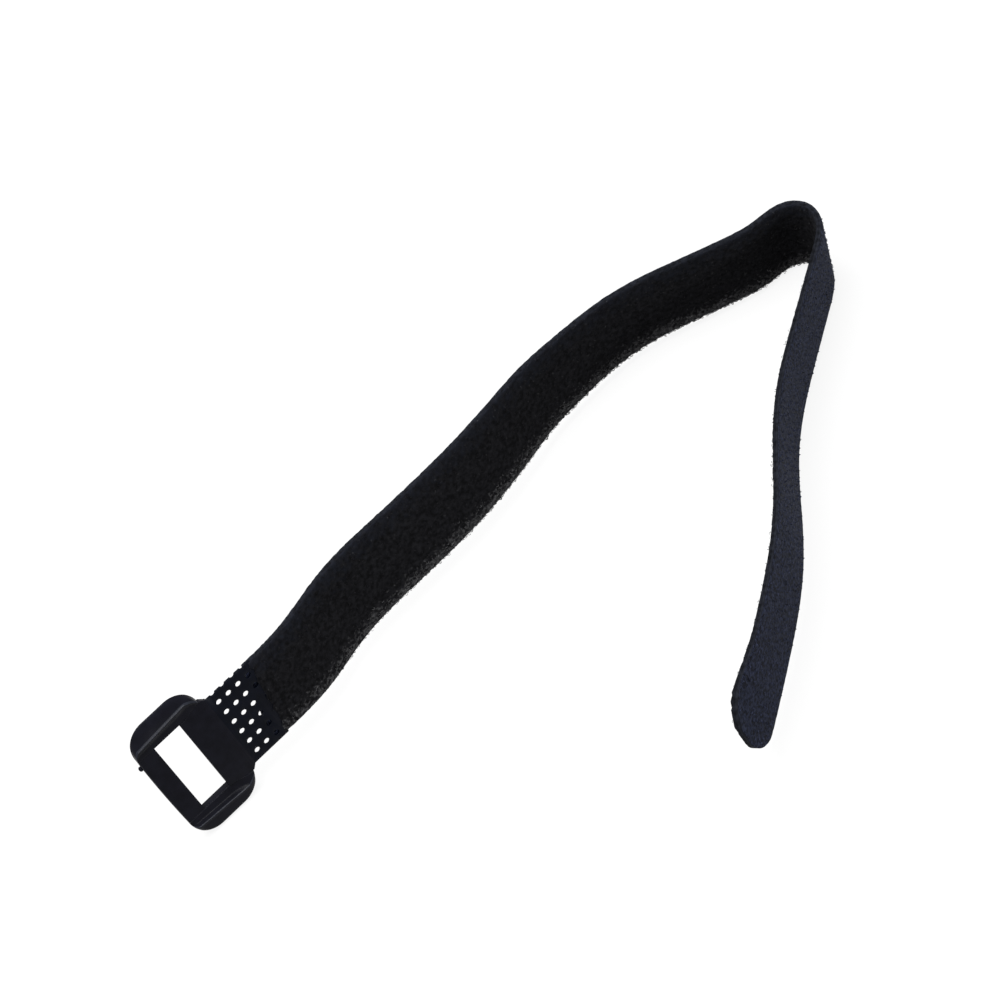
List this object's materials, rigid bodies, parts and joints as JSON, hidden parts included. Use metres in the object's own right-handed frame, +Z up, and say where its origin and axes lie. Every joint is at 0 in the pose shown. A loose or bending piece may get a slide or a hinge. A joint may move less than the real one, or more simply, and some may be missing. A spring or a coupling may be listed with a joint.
{
  "type": "hook and loop cable tie",
  "caption": "Hook and loop cable tie: a moulded buckle with a slot, joined by a perforated web to a tape with pile on one face and hooks on the other, lying open on its long edge.",
  "frame": {"origin": "middle of the tie's bounding box, on the surface that the tie lies on", "axes": "+X from the buckle's side of the lay to the fold, +Y towards the fold's run, +Z up along the width of the tape"},
  "size_m": [0.1764, 0.1112, 0.0317],
  "materials": {
    "moulded_plastic": "satin black moulded plastic",
    "loop_pile": "brushed black loop pile",
    "hook_weave": "woven black hook tape, slightly blue in the light"
  },
  "bodies": {
    "root": {"buckle": "moulded_plastic", "loop_tape": "loop_pile", "hook_tape": "hook_weave"}
  },
  "joints": []
}
